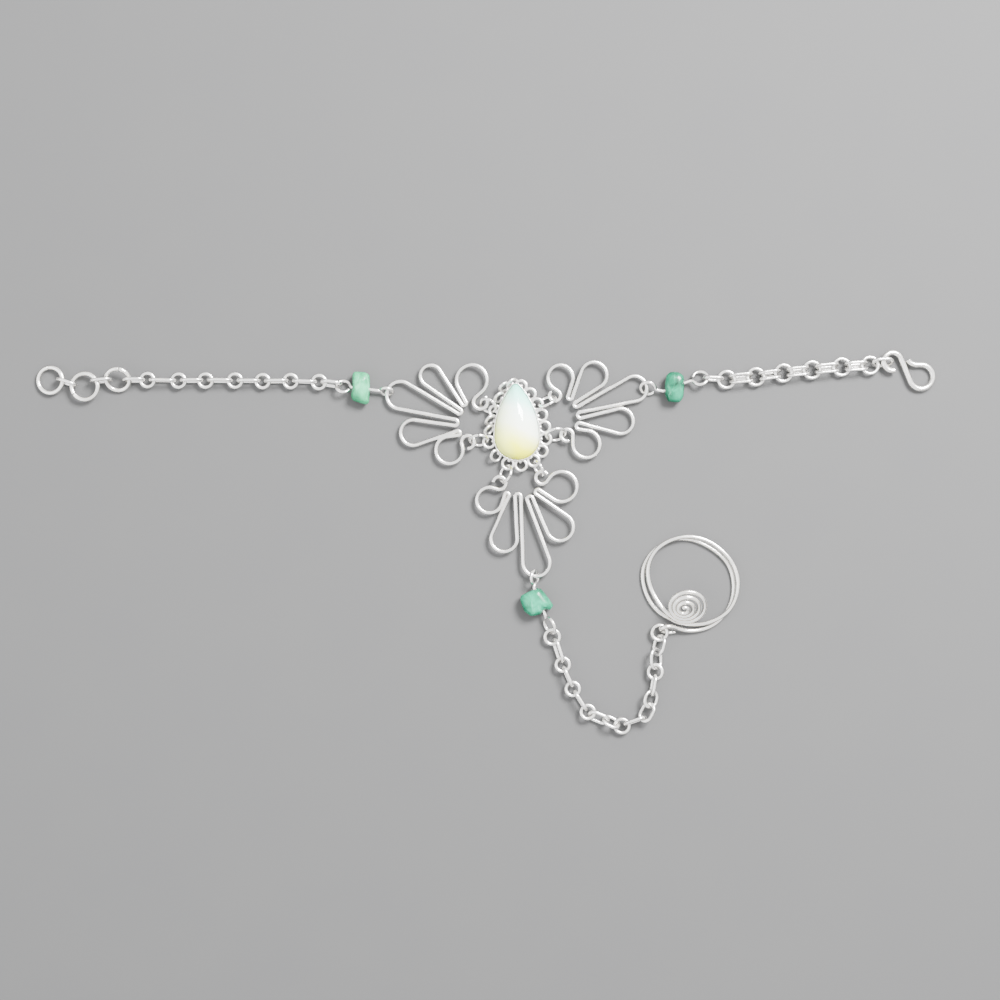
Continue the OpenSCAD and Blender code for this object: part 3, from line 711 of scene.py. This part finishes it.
CH_R = 0.35
for nm, at, size, dirn, tilt in (("end_link_1", [-90.0, 8.1, 1.57], [4.6, 3.0], -18, 79), ("end_link_2", [-83.05, 8.5, 1.71], [4.6, 3.1], 5, 80),
                                 ("chain_left_link_in", [-37.1, 7.85, 1.6], [4.5, 3.0], -8, 69), ("chain_left_link_out", [-76.5, 8.6, 1.75], [4.7, 3.0], 0, 80),
                                 ("chain_right_link_in", [39.24, 8.87, 1.61], [4.5, 3.0], -3, 79), ("chain_right_link_out", [73.11, 12.13, 1.38], [4.5, 3.0], 4, 58)):
    wire(nm + "_wire", olink(at, size, 0.7, dirn, tilt), CH_R, SILVER_CHAIN, [nm], closed=True)
wire("chain_finger_link_in_wire", circle(1.47, 64) @ rx(6.5).T + [7.06, -42.76, 1.44], CH_R, SILVER_CHAIN, ["chain_finger_link_in"], closed=True)
wire("chain_finger_link_out_wire", circle(1.5, 64) + [28.51, -41.92, 1.25], CH_R, SILVER_CHAIN, ["chain_finger_link_out"], closed=True)

HOOK = [[75.1, 12.3, 1.8, -1], [80.9, 9.3, 2.4, 1], [79.9, 13.6, 1.9, -1]]
P = (pegged(HOOK, 262, 60, 0.1) - [83.3, 0, 0]) @ ry(4.4).T + [83.3, 0, 0.6]
wire("s_hook_wire", P, 0.575, SILVER_RING, ["s_hook"], sides=24)

# ------------------------------------------------------------------ chains: separate links

def px(x, y):
    return np.array([(x - 517) / 5.0, (423 - y) / 5.0])


def chain_links(prefix, rings, ends, node, doubles=False, seed=0, rr=1.35):
    """Flat rings at the given places, joined by upright oval links."""
    g = np.random.default_rng(seed)
    pts = [np.array(p, float) for p in rings]
    made = []
    for i, p in enumerate(pts):
        P = circle(rr, 56, g.uniform(0, 360)) @ rx(g.uniform(-5, 5)).T @ ry(g.uniform(-4, 4)).T + [p[0], p[1], 1.22 + g.uniform(-0.04, 0.05)]
        made.append(wire(f"{prefix}_ring_{i + 1}", P, CH_R, SILVER_CHAIN, closed=True))
    for i in range(len(pts) - 1):
        a, b = pts[i], pts[i + 1]
        d = np.linalg.norm(b - a)
        dirn = degrees(atan2(b[1] - a[1], b[0] - a[0]))
        mid = (a + b) / 2
        if doubles:
            w, off = 0.62, 0.52
            L = d - 2 * sqrt((rr - CH_R - w / 2 - 0.04) ** 2 - off * off) + w
            for s in (-1, 1):
                o = rz(dirn)[:2, :2] @ np.array([0, s * (off + g.uniform(-0.02, 0.02))])
                P = olink([mid[0] + o[0], mid[1] + o[1], 1.42], [L, 2.75], w, dirn, 90 - s * g.uniform(9, 15))
                made.append(wire(f"{prefix}_link_{i + 1}_{'a' if s < 0 else 'b'}", P, w / 2, SILVER_CHAIN, closed=True))
        else:
            L = d - 2 * (rr - CH_R - 0.35 - 0.06) + 0.7
            P = olink([mid[0], mid[1], 1.55], [L, 3.0], 0.7, dirn + g.uniform(-2, 2), 90 - g.uniform(1, 7) * (1 if g.random() < 0.6 else -1))
            made.append(wire(f"{prefix}_link_{i + 1}", P, CH_R, SILVER_CHAIN, closed=True))
    for o in made:
        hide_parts(node)
    return made


left = [px(147.4, 380), px(178.5, 380.5), px(205.5, 380.5), px(235, 380.5), px(262.6, 381), px(290.6, 381), px(319, 382)]
chain_links("chain_left", left, None, "chain_left", False, 4)
right = [px(726.7, 379.4), px(756.0, 376.7), px(783.6, 372.9), px(812.1, 369.8), px(841.8, 366.8), px(870.2, 365.2)]
chain_links("chain_right", right, None, "chain_right", True, 5, 1.64)

# ---- finger chain: links seen lying in a loose heap, nudged apart so that no two share space


def link_line(q, n=36):
    """q: x, y, z, heading, tilt, length, width."""
    r, s = (q[6] - 0.7) / 2, (q[5] - q[6]) / 2
    P = oval(q[5], q[6], 0.7, 0.24) if s > 0.02 else circle(r, 36)
    return P @ rx(q[4]).T @ rz(q[3]).T + [q[0], q[1], q[2]]


def link_number(A, B):
    a, b = A[::2], B[::2]
    da, db = np.roll(a, -1, 0) - a, np.roll(b, -1, 0) - b
    r = (a + da / 2)[:, None] - (b + db / 2)[None]
    c = np.cross(da[:, None], db[None])
    return abs((np.einsum("ijk,ijk->ij", r, c) / np.linalg.norm(r, axis=2) ** 3).sum() / (4 * pi))


def settle(links, fixed, seed, rounds):
    """Moves each link a little until all wires keep clear of each other and the floor and neighbours stay threaded."""
    g = np.random.default_rng(seed)
    L = [np.array(q, float) for q in links]
    home = [q.copy() for q in L]
    n = len(L)
    free = [i for i in range(n) if i not in fixed]
    C = [link_line(q) for q in L]
    E = {}

    def gap(A, B):
        return np.sqrt(((A[:, None] - B[None]) ** 2).sum(2)).min() - 0.7

    def cost(i, q, line):
        dq = (q - home[i])[:5] / np.array([0.5, 0.5, 0.5, 20, 20])
        e = 60 * max(0, 0.36 - line[:, 2].min()) + 0.25 * (dq ** 2).sum()
        for j in (i - 2, i - 1, i + 1, i + 2):
            if 0 <= j < n:
                d = gap(line, C[j])
                e += 60 * max(0, 0.04 - d)
                if abs(i - j) == 1 and (d > 0.8 or link_number(line, C[j]) < 0.5):
                    e += 25 + 10 * max(0, d)
        return e

    for k in range(rounds):
        sc = 1.0 if k < rounds * 0.4 else (0.45 if k < rounds * 0.75 else 0.15)
        for i in free:
            if i not in E:
                E[i] = cost(i, L[i], C[i])
            q = L[i].copy()
            q[:5] += g.normal(size=5) * np.array([0.22, 0.22, 0.14, 9, 9]) * sc
            line = link_line(q)
            e = cost(i, q, line)
            if e < E[i]:
                L[i], C[i], E[i] = q, line, e
                for j in (i - 2, i - 1, i + 1, i + 2):
                    E.pop(j, None)
    return L


fp = [[7.06, -42.76, 1.44, 0, 6.5, 3.64, 3.64]]


def fl(x, y, z, dirn, tilt, ln, wd):
    p = px(x, y)
    fp.append([p[0], p[1], z, dirn, tilt, ln, wd])


fl(557.2, 651.0, 1.75, -71, 64, 5.35, 3.0)
fl(562.0, 665.0, 1.3, 0, 4, 3.4, 3.4)
fl(567.5, 676.7, 1.65, -65, 84, 4.8, 3.0)
fl(573.0, 688.4, 1.3, 0, -5, 3.4, 3.4)
fl(580.0, 700.2, 1.65, -60, 85, 5.0, 3.0)
fl(587.0, 712.0, 1.3, 0, 5, 3.4, 3.4)
fl(598.5, 717.5, 1.4, -24, 40, 4.6, 3.2)
fl(610.5, 720.5, 1.7, -30, -52, 4.0, 3.1)
fl(622.0, 726.0, 1.35, -20, 8, 3.6, 3.5)
fl(635.0, 720.5, 1.65, 18, 78, 4.9, 3.0)
fl(647.5, 713.0, 1.5, 62, -24, 4.4, 3.2)
fl(650.0, 698.0, 1.7, 78, 42, 4.0, 3.5)
fl(653.5, 685.0, 1.6, 76, -84, 4.7, 3.0)
fl(656.6, 671.0, 1.35, 80, 6, 3.6, 3.5)
fl(655.8, 658.0, 1.75, 92, 42, 4.6, 3.5)
fl(658.5, 645.0, 1.5, 82, -46, 4.5, 3.5)
fp.append([28.51, -41.92, 1.25, 0, 0, 3.7, 3.7])
settled = settle(fp, {0, len(fp) - 1}, 3, 240)
for i, q in enumerate(settled[1:-1]):
    r, s = (q[6] - 0.7) / 2, (q[5] - q[6]) / 2
    P = oval(q[5], q[6], 0.7) if s > 0.02 else circle(r, 60)
    P = P @ rx(q[4]).T @ rz(q[3]).T + q[:3]
    o = wire(f"chain_finger_link_{i + 1:02d}", P, CH_R, SILVER_CHAIN, ["chain_finger"], closed=True)

# ------------------------------------------------------------------ finger ring
RING_C = np.array([34.7, -32.1])
RING_OUT = 10.0
RING_W = 0.42
RING_END = [[-2.9, -9.8, 0.46], [-4.0, -9.85, 0.45], [-5.1, -9.8, 0.46], [-5.9, -9.45, 0.80],
            [-6.0, -9.1, 1.55], [-5.5, -8.7, 2.25], [-4.7, -8.5, 2.4], [-3.7, -8.6, 2.1], [-2.65, -9.0, 1.5]]
COIL = [[262, 0.55, 1.00], [275, 0.5, 0.60], [300, 0.5, 0.45], [330, 0.9, 0.44], [360, 1.3, 0.44], [385, 1.5, 0.44],
        [410, 1.8, 0.44], [430, 1.7, 0.44], [450, 1.2, 0.44], [470, 0.6, 0.44], [490, 0.3, 0.44], [510, 0.1, 0.44],
        [525, 0.2, 0.44], [550, 0.9, 0.44], [575, 1.4, 0.44], [600, 1.8, 0.45], [618, 1.8, 0.48], [632, 1.8, 0.60],
        [645, 1.6, 0.82], [660, 1.3, 1.12], [675, 0.9, 1.30], [690, 0.6, 1.35], [720, 0.5, 1.34], [745, 0.7, 1.33],
        [770, 0.9, 1.33], [800, 0.7, 1.33], [830, 0.5, 1.35], [855, 0.4, 1.35], [875, 0.8, 1.32], [900, 1.8, 1.26],
        [918, 2.4, 1.38], [934, 2.6, 1.70], [950, 2.5, 1.82]]
SP_C, SP_R, SP_IN, SP_DOME, SP_TILT, SP_TURNS = np.array([33.80, -36.38, 3.33]), 4.05, 0.45, 1.6, 32, 3.7


def spiral_pt(t):
    a = radians(232 + 360 * SP_TURNS * t)
    r = SP_R - (SP_R - SP_IN) * t
    u, v, w = r * cos(a) - 0.7 * t, r * sin(a), SP_DOME * t
    c, s = cos(radians(SP_TILT)), sin(radians(SP_TILT))
    return SP_C + [u, v * c - w * s, v * s + w * c]


rc = curve(COIL, 24)
route = np.vstack([
    curve(RING_END, 16) + [RING_C[0], RING_C[1], 0],
    np.c_[RING_C[0] + (RING_OUT - rc[:, 1]) * np.cos(np.radians(rc[:, 0])), RING_C[1] + (RING_OUT - rc[:, 1]) * np.sin(np.radians(rc[:, 0])), rc[:, 2]],
    np.array([spiral_pt(i / 420) for i in range(421)])])
route = evenly(route, 0.05)
ker = np.hanning(17)
ker /= ker.sum()
pad = np.pad(route, ((8, 8), (0, 0)), mode="edge")
smooth = np.stack([np.convolve(pad[:, k], ker, "valid") for k in range(3)], 1)
smooth[0], smooth[-1] = route[0], route[-1]
route = evenly(smooth, 0.13)
rad = np.full(len(route), RING_W)
tip = np.linspace(0, 1, 10)
rad[:10] = RING_W * (0.45 + 0.55 * tip)          # the free end is filed to a point
wire("finger_ring_wire", route, rad, SILVER_RING, ["finger_ring"], sides=18)

# ------------------------------------------------------------------ floor, light, camera
me = bpy.data.meshes.new("floor")
s = 1.5
me.from_pydata([(-s, -s, 0), (s, -s, 0), (s, s, 0), (-s, s, 0)], [], [(0, 1, 2, 3)])
floor = bpy.data.objects.new("floor", me)
bpy.context.scene.collection.objects.link(floor)
fm, nt, b = node_mat("pale_floor")
tc = add(nt, "ShaderNodeTexCoord")
b.inputs["Roughness"].default_value = 0.75
nt.links.new(ramp(nt, noise(nt, tc.outputs["Object"], 60, 3), [(0.3, (0.065, 0.065, 0.066)), (0.7, (0.067, 0.067, 0.067))]), b.inputs["Base Color"])
me.materials.append(fm)

world = bpy.data.worlds.new("studio") if not bpy.context.scene.world else bpy.context.scene.world
bpy.context.scene.world = world
world.use_nodes = True
wt = world.node_tree
bg = wt.nodes["Background"]
wtc = add(wt, "ShaderNodeTexCoord")
wsep = add(wt, "ShaderNodeSeparateXYZ")
wt.links.new(wtc.outputs["Generated"], wsep.inputs[0])
# bright overhead, with brighter and darker sides near the horizon so that round metal shows its form
low = ramp(wt, maprange(wt, mathn(wt, "MULTIPLY", wsep.outputs[0], wsep.outputs[1]), -0.40, 0.40, 0, 1), [(0.0, (0.10, 0.10, 0.105)), (0.35, (0.28, 0.28, 0.285)), (0.60, (0.95, 0.95, 0.96)), (1.0, (1.1, 1.1, 1.1))])
wt.links.new(mixc(wt, maprange(wt, wsep.outputs[2], 0.22, 0.55, 0, 1, True), low, (1.0, 1.0, 1.0)), bg.inputs["Color"])
bg.inputs["Strength"].default_value = 2.7


def area(name, at, size, power, target=(0.0, -0.015, 0.0), colour=(1, 1, 1)):
    l = bpy.data.lights.new(name, "AREA")
    l.shape, l.size, l.size_y, l.energy, l.color = "RECTANGLE", size[0], size[1], power, colour
    o = bpy.data.objects.new(name, l)
    bpy.context.scene.collection.objects.link(o)
    from mathutils import Vector
    o.location = at
    o.rotation_mode = "QUATERNION"
    o.rotation_quaternion = (Vector(target) - Vector(at)).to_track_quat("-Z", "Y")
    return o


area("key_upper_right", (0.24, 0.26, 0.46), (0.20, 0.20), 20.0)
area("fill_left", (-0.35, -0.10, 0.40), (0.30, 0.30), 1.0, colour=(0.95, 0.97, 1.0))

cam = bpy.data.cameras.new("camera")
cam.sensor_width = 36
cam.lens = 72
cam.clip_start, cam.clip_end = 0.01, 10
co = bpy.data.objects.new("camera", cam)
bpy.context.scene.collection.objects.link(co)
co.location = (-0.0034, -0.0154, 0.4013)
bpy.context.scene.camera = co
